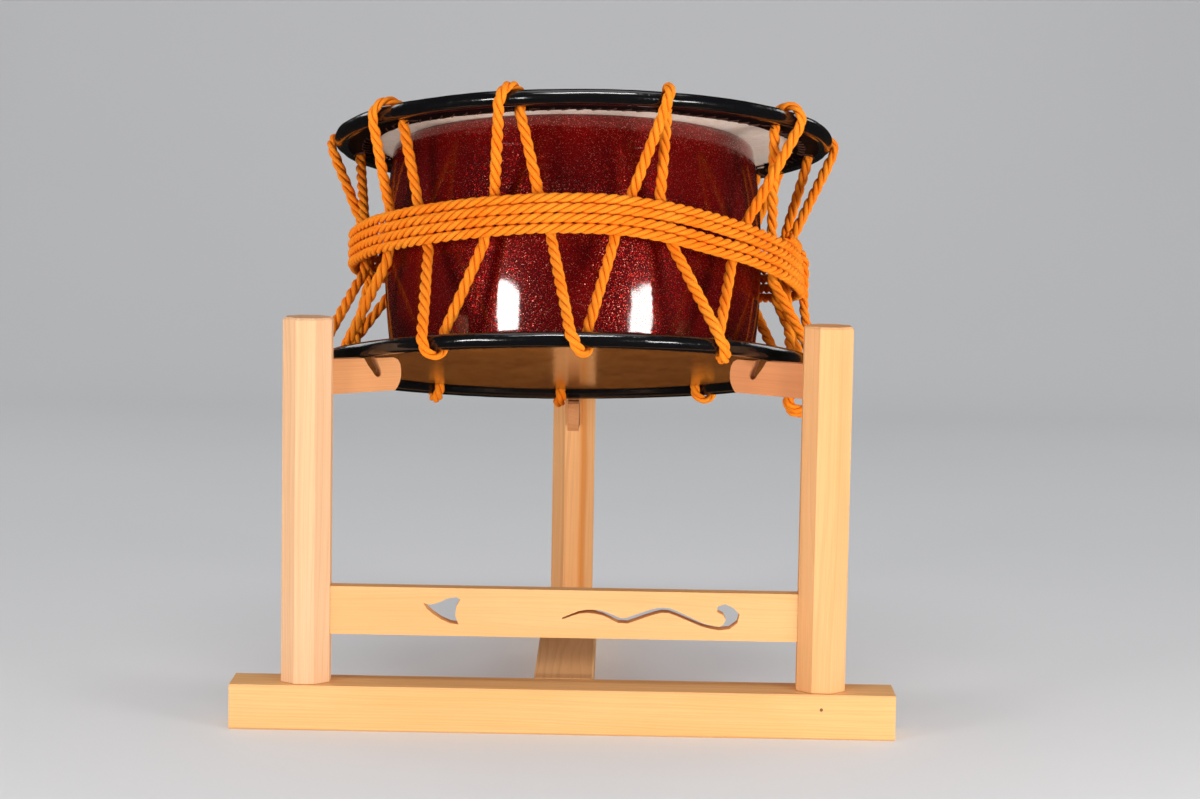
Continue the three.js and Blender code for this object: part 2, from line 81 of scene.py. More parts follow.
# binding wound round the legs; the wave is (cosine, sine) height of each harmonic round the drum
BIND_D = 7.2
WRAPS, WRAP_PITCH, WRAP_START = 4.4, 6.75, 70.0
WRAP_Z, WRAP_SHIFT, WRAP_R = 0.85, 1.6, 156.2
WRAP_WAVE = [(-1.84, -4.93), (6.89, -0.11), (-0.18, 1.06), (0.36, 0.51)]


# ---------------------------------------------------------------- placing and meshes
def to_world(points):
    """Drum millimetres to world metres: lean back, roll a little, move to the drum's place."""
    points = np.asarray(points, float)
    x, y, z = points[..., 0], points[..., 1], points[..., 2]
    cos_tilt, sin_tilt = math.cos(DRUM_TILT), math.sin(DRUM_TILT)
    cos_roll, sin_roll = math.cos(DRUM_ROLL), math.sin(DRUM_ROLL)
    leaned_y = y * cos_tilt + z * sin_tilt
    leaned_z = -y * sin_tilt + z * cos_tilt
    placed = [
        x * cos_roll - leaned_z * sin_roll,
        leaned_y + DRUM_Y,
        x * sin_roll + leaned_z * cos_roll + DRUM_Z,
    ]
    return np.stack(placed, -1) / 1000.0


def polar(radius, degrees, z, shift=0.0):
    angle = math.radians(degrees)
    return np.array([shift + radius * math.sin(angle), -radius * math.cos(angle), z])


def degrees_apart(one, other):
    return abs((one - other + 180) % 360 - 180)


def wobble(x, seed, period=None):
    """Smooth 1-D value noise in -1..1; period makes it close on itself."""
    x = np.asarray(x, float)
    cell = np.floor(x).astype(int)
    part = x - cell
    part = part * part * (3 - 2 * part)

    def level(index):
        if period:
            index = np.mod(index, period)
        value = np.sin(index * 127.1 + seed * 311.7) * 43758.5453
        return (value - np.floor(value)) * 2 - 1

    return level(cell) * (1 - part) + level(cell + 1) * part


def make(name, verts, faces, smooth=True, uv=None, sharp_deg=None):
    """Link a new object; verts are in metres, uv holds one pair per vertex."""
    mesh = bpy.data.meshes.new(name)
    mesh.from_pydata([tuple(v) for v in verts], [], [tuple(int(i) for i in f) for f in faces])
    if uv is not None:
        layer = mesh.uv_layers.new(name="UVMap")
        corner = np.empty(len(mesh.loops), np.int32)
        mesh.loops.foreach_get("vertex_index", corner)
        layer.data.foreach_set("uv", np.asarray(uv, np.float32)[corner].ravel())
    mesh.polygons.foreach_set("use_smooth", [smooth] * len(mesh.polygons))
    if sharp_deg is not None:
        mesh.set_sharp_from_angle(angle=math.radians(sharp_deg))
    mesh.update()
    piece = bpy.data.objects.new(name, mesh)
    bpy.context.scene.collection.objects.link(piece)
    return piece


def join(parts):
    """One vertex array and face list from several (verts, faces)."""
    all_faces, offset = [], 0
    for verts, faces in parts:
        all_faces.extend(tuple(i + offset for i in face) for face in faces)
        offset += len(verts)
    return np.vstack([verts for verts, _ in parts]), all_faces


def fit_to_drum(piece, node, material):
    """Let a piece ride with the drum in place of a CAD node, and give it its material."""
    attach(piece, "drum")
    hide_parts(node)
    piece.data.materials.append(material)


# ---------------------------------------------------------------- shader graphs
class Value:
    """A shader socket usable in arithmetic; every operation adds one Math node."""

    def __init__(self, graph, socket):
        self.graph, self.socket = graph, socket

    def __add__(self, other):
        return self.graph.math("ADD", self, other)

    def __radd__(self, other):
        return self.graph.math("ADD", other, self)

    def __sub__(self, other):
        return self.graph.math("SUBTRACT", self, other)

    def __rsub__(self, other):
        return self.graph.math("SUBTRACT", other, self)

    def __mul__(self, other):
        return self.graph.math("MULTIPLY", self, other)

    def __truediv__(self, other):
        return self.graph.math("DIVIDE", self, other)


class Graph:
    """The emptied node tree of a material or world."""

    def __init__(self, owner):
        owner.use_nodes = True
        self.tree = owner.node_tree
        self.tree.nodes.clear()

    def put(self, target, value):
        """Link or set one input; plain colours get an alpha of 1."""
        if isinstance(value, Value):
            value = value.socket
        if isinstance(value, bpy.types.NodeSocket):
            self.tree.links.new(value, target)
        elif target.type == "RGBA":
            target.default_value = (*value, 1.0)
        else:
            target.default_value = value

    def node(self, kind, inputs=None, **settings):
        node = self.tree.nodes.new(kind)
        for key, value in settings.items():
            setattr(node, key, value)
        for key, value in (inputs or {}).items():
            self.put(node.inputs[key], value)
        return node

    def value(self, kind, inputs=None, output=0, **settings):
        return Value(self, self.node(kind, inputs, **settings).outputs[output])

    def math(self, operation, first, second=0.0, third=None, clamp=False):
        inputs = {0: first, 1: second}
        if third is not None:
            inputs[2] = third
        return self.value("ShaderNodeMath", inputs, operation=operation, use_clamp=clamp)

    def vector(self, operation, first, second=None, scale=None):
        inputs = {0: first}
        if second is not None:
            inputs[1] = second
        if scale is not None:
            inputs["Scale"] = scale
        output = "Value" if operation == "LENGTH" else 0
        return self.value("ShaderNodeVectorMath", inputs, output, operation=operation)

    def split(self, vector):
        outputs = self.node("ShaderNodeSeparateXYZ", {0: vector}).outputs
        return [Value(self, socket) for socket in outputs]

    def rotate(self, vector, angles):
        inputs = {"Vector": vector, "Rotation": angles}
        return self.value("ShaderNodeMapping", inputs, vector_type="POINT")

    def from_axis(self, vector):
        """Distance from the z axis."""
        return self.vector("LENGTH", self.vector("MULTIPLY", vector, (1, 1, 0)))

    def mix(self, factor, first, second):
        inputs = {0: factor, 6: first, 7: second}
        return self.value("ShaderNodeMix", inputs, 2, data_type="RGBA")

    def mix_number(self, factor, first, second):
        inputs = {0: factor, 2: first, 3: second}
        return self.value("ShaderNodeMix", inputs, data_type="FLOAT")

    def mix_shader(self, factor, first, second):
        return self.value("ShaderNodeMixShader", {0: factor, 1: first, 2: second})

    def ramp(self, factor, *stops):
        """Grey ramp; each stop is (position, grey)."""
        node = self.node("ShaderNodeValToRGB", {0: factor})
        elements = node.color_ramp.elements
        while len(elements) < len(stops):
            elements.new(0.5)
        for element, (position, grey) in zip(elements, stops):
            element.position = position
            element.color = (grey, grey, grey, 1)
        return Value(self, node.outputs[0])

    def noise(self, place, stretch=None, scale=1.0, detail=2, roughness=0.5, distortion=0.0):
        """Noise at a place; stretch multiplies the coordinates axis by axis first."""
        if stretch is not None:
            place = self.vector("MULTIPLY", place, stretch)
        inputs = {
            "Vector": place, "Scale": scale, "Detail": detail,
            "Roughness": roughness, "Distortion": distortion,
        }
        return self.value("ShaderNodeTexNoise", inputs)

    def bump(self, height, strength, distance):
        inputs = {"Height": height, "Strength": strength, "Distance": distance}
        return self.value("ShaderNodeBump", inputs)

    def coords(self, kind="Object"):
        return self.value("ShaderNodeTexCoord", output=kind)

    def object_mm(self):
        return self.vector("SCALE", self.coords(), scale=1000.0)


class Material(Graph):
    """A material with one Principled surface."""

    def __init__(self, name):
        self.material = bpy.data.materials.new(name)
        super().__init__(self.material)
        self.output = self.node("ShaderNodeOutputMaterial")
        self.surface = self.node("ShaderNodeBsdfPrincipled")
        self.put(self.output.inputs[0], self.surface.outputs[0])

    def set(self, inputs):
        for key, value in inputs.items():
            self.put(self.surface.inputs[key], value)


# ---------------------------------------------------------------- stand
QUARTER = math.radians(90)
# rotations that bring the grain onto z
GRAIN_TURNS = {"X": [(0, -QUARTER, 0)], "Y": [(QUARTER, 0, 0)], "Z": [(0, 0, 0)]}


def wood(name, grain, pith, tones, seed, ring, tint=(1, 1, 1), late_amount=0.5, warp=2.2,
         rough=0.5, streak=None):
    """Straight-grained conifer.

    grain: axis letter, or an angle about Z from X; pith: ring centre across the grain in mm;
    tones: light wood, mid wood, late-wood line; ring: ring width in mm; warp: waviness;
    streak: a band of redder heartwood across x.
    """
    light, mid, late = [tuple(min(0.97, c * k) for c, k in zip(tone, tint)) for tone in tones]
    mat = Material(name)
    along = mat.vector("ADD", mat.object_mm(), (seed * 37.0, seed * 53.0, seed * 91.0))
    if isinstance(grain, str):
        turns = GRAIN_TURNS[grain]
    else:
        turns = [(0, 0, -grain), *GRAIN_TURNS["X"]]
    for angles in turns:
        along = mat.rotate(along, angles)

    # distance from the pith, warped, with ring widths that vary from year to year
    slow_warp = (mat.noise(along, stretch=(1 / 55, 1 / 55, 1 / 420)) - 0.5) * (warp * 9)
    fine_warp = (mat.noise(along, stretch=(1 / 9, 1 / 9, 1 / 130)) - 0.5) * (warp * 0.9)
    off_pith = mat.vector("SUBTRACT", along, (pith[0], pith[1], 0.0))
    depth = mat.from_axis(off_pith) + slow_warp + fine_warp
    years = mat.value("ShaderNodeTexNoise", {"W": depth * (1 / 14.0)}, noise_dimensions="1D")
    depth = depth + years * (ring * 2.2)
    late_line = mat.ramp(
        mat.math("FRACT", depth / ring),
        (0.0, 0.15), (0.10, 0.0), (0.45, 0.12), (0.80, 0.55), (0.93, 1), (0.985, 0.85), (1.0, 0.15),
    )
    # hair-fine fibres, broader fibres and blotches
    fibre = mat.noise(along, stretch=(3.6, 3.6, 0.045), detail=3, roughness=0.65)
    broad = mat.noise(along, stretch=(0.9, 0.9, 0.018))
    blotch = mat.noise(along, stretch=(1 / 26, 1 / 26, 1 / 120))
    dark_fibre = tuple(c * 0.72 for c in mid)
    pale_fibre = tuple(min(1.0, c * 1.12) for c in light)
    base = mat.mix(mat.ramp(blotch, (0.35, 0), (0.68, 1)), light, mid)
    base = mat.mix(late_line * late_amount, base, late)
    base = mat.mix(mat.ramp(fibre, (0.32, 0.30), (0.60, 0)), base, dark_fibre)
    base = mat.mix(mat.ramp(broad, (0.40, 0.0), (0.72, 0.22)), base, pale_fibre)
    if streak:
        x, _, _ = mat.split(mat.object_mm())
        wander = (mat.noise(along, stretch=(0.02, 0.02, 0.008)) - 0.5) * (streak["half"] * 1.6)
        away = mat.math("ABSOLUTE", x + wander - streak["centre"])
        band = mat.ramp(away / streak["half"], (0.35, 1), (1.0, 0))
        base = mat.mix(band * streak["amount"], base, streak["colour"])
    relief = late_line * 0.5 + fibre * 0.9
    mat.set({
        "Base Color": base,
        "Roughness": fibre * 0.16 + (rough - 0.06),
        "Normal": mat.bump(relief, strength=0.35, distance=0.00008),
        "Specular IOR Level": 0.24,
    })
    return mat.material


# CAD node, (eased edge in mm, bevel segments) or None, wood
STAND = [
    ("left_post", (0.7, 3), dict(
        grain="Z", pith=(-260, 38), seed=1.3, ring=3.0, tint=(1.06, 0.89, 0.80),
        tones=((0.83, 0.60, 0.385), (0.79, 0.545, 0.325), (0.66, 0.40, 0.21)))),
    ("right_post", (0.7, 3), dict(
        grain="Z", pith=(60, -95), seed=4.1, ring=3.4, late_amount=0.42, tint=(1.07, 0.79, 0.57),
        tones=((0.83, 0.60, 0.37), (0.78, 0.535, 0.30), (0.66, 0.39, 0.19)))),
    ("front_foot", (0.6, 3), dict(
        grain="X", pith=(70, 40), seed=2.2, ring=2.3, late_amount=0.6, tint=(1.12, 0.95, 0.76),
        tones=((0.80, 0.535, 0.275), (0.755, 0.48, 0.225), (0.60, 0.345, 0.145)))),
    ("cross_rail", (0.35, 2), dict(
        grain="X", pith=(-60, -7), seed=5.7, ring=2.0, warp=3.2, late_amount=0.42,
        tint=(1.08, 0.92, 0.76),
        tones=((0.79, 0.52, 0.27), (0.75, 0.475, 0.225), (0.63, 0.37, 0.16)))),
    ("rear_foot", (0.6, 3), dict(
        grain="Y", pith=(45, 60), seed=8.8, ring=2.5, tint=(1.08, 0.92, 0.75),
        tones=((0.79, 0.53, 0.29), (0.74, 0.47, 0.24), (0.60, 0.35, 0.16)))),
    ("rear_post", (0.7, 3), dict(
        grain="Z", pith=(30, 120), seed=6.4, ring=3.2, tint=(1.06, 0.80, 0.58),
        tones=((0.80, 0.56, 0.33), (0.75, 0.49, 0.27), (0.60, 0.34, 0.16)),
        streak=dict(centre=7.5, half=3.6, colour=(0.70, 0.25, 0.05), amount=0.85))),
    ("left_arm", (0.5, 3), dict(
        grain=math.radians(30), pith=(-38, 60), seed=3.1, ring=2.6, late_amount=0.4,
        tint=(1.05, 0.77, 0.50),
        tones=((0.70, 0.425, 0.255), (0.65, 0.375, 0.21), (0.50, 0.25, 0.12)))),
    ("right_arm", (0.5, 3), dict(
        grain=math.radians(150), pith=(-42, 70), seed=9.1, ring=2.8, late_amount=0.35,
        tint=(1.08, 0.72, 0.48),
        tones=((0.70, 0.42, 0.25), (0.65, 0.365, 0.20), (0.50, 0.25, 0.12)))),
    ("rear_arm", (0.5, 3), dict(
        grain="Y", pith=(-40, 60), seed=7.7, ring=2.6, late_amount=0.4, tint=(1.1, 0.82, 0.58),
        tones=((0.66, 0.40, 0.24), (0.60, 0.34, 0.19), (0.46, 0.23, 0.11)))),
    ("right_tenon_pin", None, dict(
        name="wood_pin", grain="Y", pith=(2, 3), seed=0.4, ring=0.7, rough=0.6,
        tones=((0.30, 0.15, 0.06), (0.24, 0.11, 0.045), (0.14, 0.06, 0.025)))),
]


def dress(node, material, edge=None):
    """Give a CAD piece a material, and ease its edges by (width in mm, segments)."""
    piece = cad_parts[node]
    # the frame may list its nodes as objects or by name
    if not isinstance(piece, bpy.types.Object):
        piece = bpy.data.objects[node]
    if len(piece.material_slots) == 0:
        piece.data.materials.append(None)
    for slot in piece.material_slots:
        slot.link = "OBJECT"
        slot.material = material
    if edge:
        width, segments = edge
        bevel = piece.modifiers.new("eased_edges", "BEVEL")
        bevel.width = width / 1000.0
        bevel.segments = segments
        bevel.limit_method = "ANGLE"
        bevel.angle_limit = math.radians(30)
        bevel.use_clamp_overlap = True
        bevel.harden_normals = False


for node_name, edge, look in STAND:
    dress(node_name, wood(**{"name": "wood_" + node_name, **look}), edge)


# ---------------------------------------------------------------- turned pieces
def lathe(profile, segments, radial, shift=0.0, flip=1):
    """Turn (radius, z) points about the drum's axis.

    A profile with radius 0 at both ends closes on the axis, any other closes on itself.
    radial(angles, radius, z) gives the offsets (radius, z) of one ring.
    """
    profile = np.asarray(profile, float)
    on_axis = profile[0, 0] == 0 and profile[-1, 0] == 0
    angles = np.arange(segments) * 2 * math.pi / segments
    rings, verts = [], []
    for radius, z in profile:
        if radius == 0:
            rings.append([len(verts)])
            verts.append((0.0, 0.0, z))
            continue
        out, rise = radial(angles, radius, z)
        ring_r = np.full(segments, radius) + out
        ring_z = np.full(segments, z) + rise
        rings.append(list(range(len(verts), len(verts) + segments)))
        verts.extend(zip(ring_r * np.sin(angles), -ring_r * np.cos(angles), ring_z))
    faces = []
    count = len(rings)
    for i in range(count - 1 if on_axis else count):
        ring, following = rings[i], rings[(i + 1) % count]
        for k in range(segments):
            after = (k + 1) % segments
            if len(ring) == 1:
                faces.append((ring[0], following[k], following[after]))
            elif len(following) == 1:
                faces.append((ring[k], following[0], ring[after]))
            else:
                faces.append((ring[k], following[k], following[after], ring[after]))
    verts = np.array(verts)
    verts[:, 2] *= flip
    verts[:, 0] += shift
    # face outwards, by the sign of the enclosed volume
    volume = 0.0
    for face in faces:
        for j in range(1, len(face) - 1):
            corner, second, third = verts[face[0]], verts[face[j]], verts[face[j + 1]]
            volume += np.dot(corner, np.cross(second, third))
    if volume < 0:
        faces = [tuple(reversed(face)) for face in faces]
    return verts, faces


def arc(centre_r, centre_z, radius, start, end, steps):
    """Points of a profile arc between two angles in degrees."""
    points = []
    for i in range(steps + 1):
        angle = math.radians(start + (end - start) * i / steps)
        points.append((centre_r + radius * math.cos(angle), centre_z + radius * math.sin(angle)))
    return points


# ---------------------------------------------------------------- shell
def lacquer_material():
    """Red lacquer full of metal flakes, under a clear coat."""
    mat = Material("red_flake_lacquer")
    place = mat.object_mm()
    # each small cell is a flake with its own tilt and brightness
    cells = mat.node(
        "ShaderNodeTexVoronoi", {"Vector": place, "Scale": 1.35, "Randomness": 1.0}, feature="F1"
    ).outputs
    chance, brightness, _ = mat.node("ShaderNodeSeparateColor", {0: cells["Color"]}).outputs
    chosen = mat.math("GREATER_THAN", chance, 0.28)
    flake = chosen * mat.math("LESS_THAN", cells["Distance"], 0.40)
    cloud = mat.noise(place, stretch=(1 / 45, 1 / 45, 1 / 70))
    ground = mat.mix(
        mat.ramp(cloud, (0.3, 0), (0.7, 1)), (0.070, 0.0004, 0.0006), (0.13, 0.0009, 0.0008)
    )
    glint = mat.math("POWER", brightness, 4.0)
    flake_colour = mat.mix(glint, (0.72, 0.007, 0.006), (1.0, 0.42, 0.30))

    geometry = mat.node("ShaderNodeNewGeometry")
    lean = mat.vector("SUBTRACT", cells["Color"], (0.5, 0.5, 0.5))
    lean = mat.vector("SCALE", mat.vector("SCALE", lean, scale=0.40), scale=flake)
    leaned = mat.vector("ADD", geometry.outputs["Normal"], lean)

    ripple = mat.noise(place, stretch=(0.03, 0.03, 0.022))
    dust = mat.noise(place, scale=0.9)
    mat.set({
        "Base Color": mat.mix(flake * 0.80, ground, flake_colour),
        "Metallic": flake * 0.9,
        "Roughness": 0.46 - flake * 0.12,
        "Specular IOR Level": 0.05,
        "Normal": mat.vector("NORMALIZE", leaned),
        "Coat Weight": 1.0,
        "Coat Roughness": 0.07,
        "Coat IOR": 1.52,
        "Coat Normal": mat.bump(ripple + dust * 0.012, strength=0.5, distance=0.0011),
    })
    return mat.material


def build_shell():
    """Bellied tube with its lips rounded over into the mouths."""
    profile = []
    rows = 60
    for i in range(rows + 1):
        along = -1 + 2 * i / rows
        radius = END_R + (BELLY_R - END_R) * (1 - along * along)
        into_lip = max(0.0, LIP_R - (HALF_LENGTH - abs(along * HALF_LENGTH)))
        drop = LIP_R - math.sqrt(max(0.0, LIP_R**2 - into_lip**2))
        profile.append((radius - drop * 0.55, along * HALF_LENGTH))
    bore = BELLY_R - WALL
    mouth = [
        (END_R - 4, HALF_LENGTH), (END_R - 6.5, HALF_LENGTH - 5), (bore, HALF_LENGTH - 18),
    ]
    profile += mouth + [(bore - 0.5, 0)] + [(r, -z) for r, z in reversed(mouth)]

    def radial(angles, radius, z):
        # hand-turned: the surface runs very slightly out of round
        turns = angles / (2 * math.pi)
        slow = 0.22 * wobble(turns * 9 + z * 0.004, seed=3, period=9)
        fine = 0.05 * wobble(turns * 41 + z * 0.02, seed=5, period=41)
        return slow + fine, 0.0

    verts, faces = lathe(profile, 288, radial)
    piece = make("shell", to_world(verts), faces, sharp_deg=40)
    fit_to_drum(piece, "drum_body", lacquer_material())


build_shell()


# ---------------------------------------------------------------- hide heads
# low and high tan, pale and deep fibres
LOWER_TANS = ((0.31, 0.080, 0.005), (0.50, 0.155, 0.013), (0.60, 0.22, 0.030), (0.22, 0.050, 0.004))
UPPER_TANS = ((0.50, 0.29, 0.105), (0.64, 0.42, 0.19), (0.70, 0.50, 0.27), (0.42, 0.22, 0.075))


def drum_coords(mat):
    """The drum's own coordinates in mm, for patterns that follow the head."""
    place = mat.vector("SUBTRACT", mat.object_mm(), (0.0, DRUM_Y, DRUM_Z))
    return mat.rotate(mat.rotate(place, (0, DRUM_ROLL, 0)), (DRUM_TILT, 0, 0))


def hide_material(name, shift, side):
    """Tan face, cream flap and black lacquer brushed over the rim; side is 1 above, -1 below."""
    mat = Material(name)
    upper = side > 0
    place = mat.vector("SUBTRACT", drum_coords(mat), (shift, 0.0, 0.0))
    x, y, z = mat.split(place)
    radius = mat.from_axis(place)
    # edge of the lacquer: coarse wander, then short brush strokes that run across it
    wander = mat.noise(place, stretch=(0.055, 0.055, 0.0), detail=3, roughness=0.6)
    round_drum = mat.math("ARCTAN2", x, y) * 42.0
    stroke_place = mat.value("ShaderNodeCombineXYZ", {0: round_drum, 1: radius * 0.10})
    stroke = mat.noise(stroke_place, detail=3, roughness=0.6)
    face_edge = 153.0 + (wander - 0.5) * 3.0
    flap_edge = 146.8 + (wander - 0.5) * 11.0 + (stroke - 0.5) * 6.0
    on_face = mat.math("GREATER_THAN", z * side, FACE_Z - 0.75)
    edge = mat.mix_number(on_face, flap_edge, face_edge)
    black = mat.math("MULTIPLY_ADD", radius - edge, 2.2, 0.5, clamp=True)

    # hide colours
    fibre = mat.noise(
        place, stretch=(0.05, 0.022, 0.03), detail=4, roughness=0.6, distortion=1.6
    )
    cloud = mat.noise(
        place, stretch=(0.013, 0.009, 0.01), detail=3, roughness=0.55, distortion=0.6
    )
    pores = mat.noise(place, scale=1.6, roughness=0.6)
    low, high, pale, deep = UPPER_TANS if upper else LOWER_TANS
    tan = mat.mix(mat.ramp(cloud, (0.30, 0), (0.72, 1)), low, high)
    tan = mat.mix(mat.ramp(fibre, (0.42, 0), (0.70, 0.35)), tan, pale)
    tan = mat.mix(mat.ramp(fibre, (0.26, 0.35), (0.42, 0)), tan, deep)
    cream = mat.mix(
        mat.ramp(fibre, (0.35, 0), (0.70, 1)), (0.97, 0.90, 0.80), (0.93, 0.80, 0.66)
    )
    cream = mat.mix(mat.ramp(stroke, (0.28, 0.30), (0.46, 0)), cream, (0.62, 0.42, 0.26))
    hide = mat.mix(on_face, cream, tan)
    hide = mat.mix(mat.ramp(pores, (0.35, 0.18), (0.6, 0)), hide, (0.34, 0.13, 0.02))
    # lacquer thins to brown where it was brushed out
    thin = mat.ramp(black, (0.0, 0), (0.25, 1), (0.85, 0.0))
    colour = mat.mix(black, hide, (0.0045, 0.0042, 0.005))
    colour = mat.mix(thin * 0.45, colour, (0.10, 0.030, 0.012))

    # gloss: the underside inside the roll stays dull
    bare_rough = (0.52 if upper else 0.11) + fibre * 0.12
    rough = mat.mix_number(black, bare_rough, 0.17 + wander * 0.08)
    flap = (1.0 - on_face) * mat.math("LESS_THAN", radius, 165.6)
    specular = 0.15 + black * 0.07 if upper else 0.9 - black * 0.68

    lumps = mat.noise(place, scale=0.11, detail=3, roughness=0.55)
    small_lumps = mat.noise(place, scale=0.55)
    relief = lumps + small_lumps * 0.16 + (fibre + pores * 0.4) * ((1.0 - black) * 0.10)
    relief = relief + black * 0.10
    mat.set({
        "Base Color": colour,
        "Roughness": mat.math("MAXIMUM", rough, flap * 0.62),
        "Coat Weight": mat.math("SUBTRACT", black, flap, clamp=True) * 0.8,
        "Coat Roughness": 0.10,
        "Specular IOR Level": specular * (1.0 - flap * 0.8),
        "Normal": mat.bump(relief * (0.35 + black * 0.65), strength=0.6, distance=0.0011),
        "IOR": 1.6,
    })
    return mat.material


def head_profile():
    """(radius, z): out over the face, round the roll, in and back along the flap, home inside."""
    face_radii = (
        18, 40, 62, 84, 104, 118, 124, 127, 132, 138, 144, 149, 153, 156.5, 159.5, 161.8, 163.4,
    )
    profile = [(0, FACE_Z)]
    profile += [(radius, FACE_Z) for radius in face_radii]
    profile += [(164.3, FACE_Z + 0.35)]
    profile += arc(HOOP_R, HOOP_Z, ROLL_R, start=172, end=-116, steps=34)
    profile += [(166.2, FLAP_UNDER - 0.05)]
    profile += [(radius, FLAP_UNDER) for radius in (164.6, 162.4, 159.5, 156, 152, 148.6)]
    profile += [(147.0, FLAP_UNDER + 0.3), (146.6, FLAP_TOP - 0.7), (147.2, FLAP_TOP - 0.1)]
    profile += [(radius, FLAP_TOP) for radius in (150, 155, 160, 164.5)]
    profile += [(166.4, FLAP_TOP - 0.2)]
    profile += arc(HOOP_R, HOOP_Z, ROLL_R - HIDE, start=-128, end=196, steps=30)
    inside_radii = (164.6, 160, 150, 140, 130, 126, 110, 80, 40, 0)
    profile += [(radius, FACE_Z - HIDE) for radius in inside_radii]
    return profile


def hole_cutter(name, shift, side, hole_angles):
    """Upright oval plugs where the lacing goes through the hide."""
    sides = 24
    verts, faces = [], []
    for hole in hole_angles:
        base = len(verts)
        for z in (HOOP_Z - 9, HOOP_Z + 9):
            for k in range(sides):
                angle = 2 * math.pi * k / sides
                radius = HOOP_R - 9.7 + 3.9 * math.cos(angle)
                across = 4.5 * math.sin(angle)
                x = shift + radius * math.sin(hole) + across * math.cos(hole)
                y = -radius * math.cos(hole) + across * math.sin(hole)
                verts.append((x, y, side * z))
        for k in range(sides):
            after = (k + 1) % sides
            faces.append((base + k, base + after, base + sides + after, base + sides + k))
        faces.append(tuple(base + k for k in reversed(range(sides))))
        faces.append(tuple(base + sides + k for k in range(sides)))
    if side < 0:
        faces = [tuple(reversed(face)) for face in faces]
    return make(name, to_world(verts), faces, smooth=False)


def build_head(name, node, shift, holes, side):
    hole_angles = np.radians(np.array(holes))

    def radial(angles, radius, z):
        turns = angles / (2 * math.pi)
        near_hole = np.zeros_like(angles)
        for hole in hole_angles:
            away = np.angle(np.exp(1j * (angles - hole)))
            near_hole = np.maximum(near_hole, np.exp(-((away * HOOP_R / 7.0) ** 2)))
        rim = np.clip((radius - 162) / 8.0, 0, 1)
        lumps = 0.26 * wobble(turns * 46 + (z - HOOP_Z) * 0.12, 11 + side, period=46)
        lumps = lumps + 0.14 * wobble(turns * 118, 17 + side, period=118)
        out = rim * (lumps - 0.75 * near_hole * (1 if radius > HOOP_R else 0.2))
        # the skin is drawn down a little at each lacing hole
        on_face = 1 if z > FACE_Z - HIDE - 0.1 and radius < 164.4 else 0
        rise = rim * 0.3 * lumps * (1 if abs(z - HOOP_Z) > 3 and radius > 160 else 0)
        rise = rise - on_face * 0.35 * near_hole * np.exp(-(((radius - 160.3) / 3.0) ** 2))
        # the flap's cut edge wanders
        if 146 < radius < 152 and z < FACE_Z - HIDE - 0.2:
            out = out + 1.6 * wobble(turns * 37, 23 + side, period=37)
            out = out + 0.7 * wobble(turns * 90, 29, period=90)
        return out, rise

    segments = 360
    verts, faces = lathe(head_profile(), segments, radial, shift=shift, flip=side)
    piece = make(name, to_world(verts), faces, sharp_deg=50)
    cutter = hole_cutter(name + "_cut", shift, side, hole_angles)
    boolean = piece.modifiers.new("holes", "BOOLEAN")
    boolean.operation = "DIFFERENCE"
    boolean.solver = "EXACT"
    boolean.object = cutter
    depsgraph = bpy.context.evaluated_depsgraph_get()
    mesh = bpy.data.meshes.new_from_object(piece.evaluated_get(depsgraph), depsgraph=depsgraph)
    piece.modifiers.clear()
    piece.data = mesh
    bpy.data.objects.remove(cutter)
    mesh.materials.clear()
    mesh.polygons.foreach_set("use_smooth", [True] * len(mesh.polygons))
    mesh.set_sharp_from_angle(angle=math.radians(50))
    fit_to_drum(piece, node, hide_material(name + "_hide", shift, side))


build_head("upper_hide", "upper_head", UPPER_SHIFT, UPPER_HOLES, side=1)
build_head("lower_hide", "lower_head", LOWER_SHIFT, LOWER_HOLES, side=-1)


# ---------------------------------------------------------------- hoops
def iron_material():
    mat = Material("forged_iron")
    place = mat.object_mm()
    scale = mat.noise(place, scale=0.35, detail=4, roughness=0.6)
    rusty = mat.ramp(scale, (0.35, 0), (0.7, 1))
    grit = mat.noise(place, scale=1.2, detail=3)
    mat.set({
        "Base Color": mat.mix(rusty, (0.035, 0.034, 0.036), (0.12, 0.075, 0.05)),
        "Roughness": 0.45 + scale * 0.35,
        "Metallic": 0.85,
        "Normal": mat.bump(grit, strength=0.4, distance=0.0003),
    })
    return mat.material


# the CAD hoops stay, inside the rolled hide
IRON = iron_material()
dress("upper_hoop", IRON)
dress("lower_hoop", IRON)


# ---------------------------------------------------------------- swept tubes and rope
STRANDS = 3
STRAND_SIDES = 9
STRAND_STEP = 1.45 * 1.0


def between(knot, start, end, first, second):
    """Straight blend that is first at knot start and second at knot end."""
    span = end - start
    return (end - knot) / span * first + (knot - start) / span * second


def catmull(points, per):
    """Centripetal Catmull-Rom, per samples a span; points and the control index of each."""
    points = np.asarray(points, float)
    padded = np.vstack([2 * points[0] - points[1], points, 2 * points[-1] - points[-2]])
    curve, index = [], []
    for i in range(1, len(padded) - 2):
        before, start, end, after = padded[i - 1 : i + 3]
        knot0 = 0.0
        knot1 = knot0 + np.linalg.norm(start - before) ** 0.5
        knot2 = knot1 + np.linalg.norm(end - start) ** 0.5
        knot3 = knot2 + np.linalg.norm(after - end) ** 0.5
        last = i == len(padded) - 3
        knot = np.linspace(knot1, knot2, per + 1 if last else per, endpoint=last)[:, None]
        first = between(knot, knot0, knot1, before, start)
        middle = between(knot, knot1, knot2, start, end)
        final = between(knot, knot2, knot3, end, after)
        early = between(knot, knot0, knot2, first, middle)
        late = between(knot, knot1, knot3, middle, final)
        curve.append(between(knot, knot1, knot2, early, late))
        index.append((i - 1) + (knot[:, 0] - knot1) / (knot2 - knot1))
    return np.vstack(curve), np.concatenate(index)


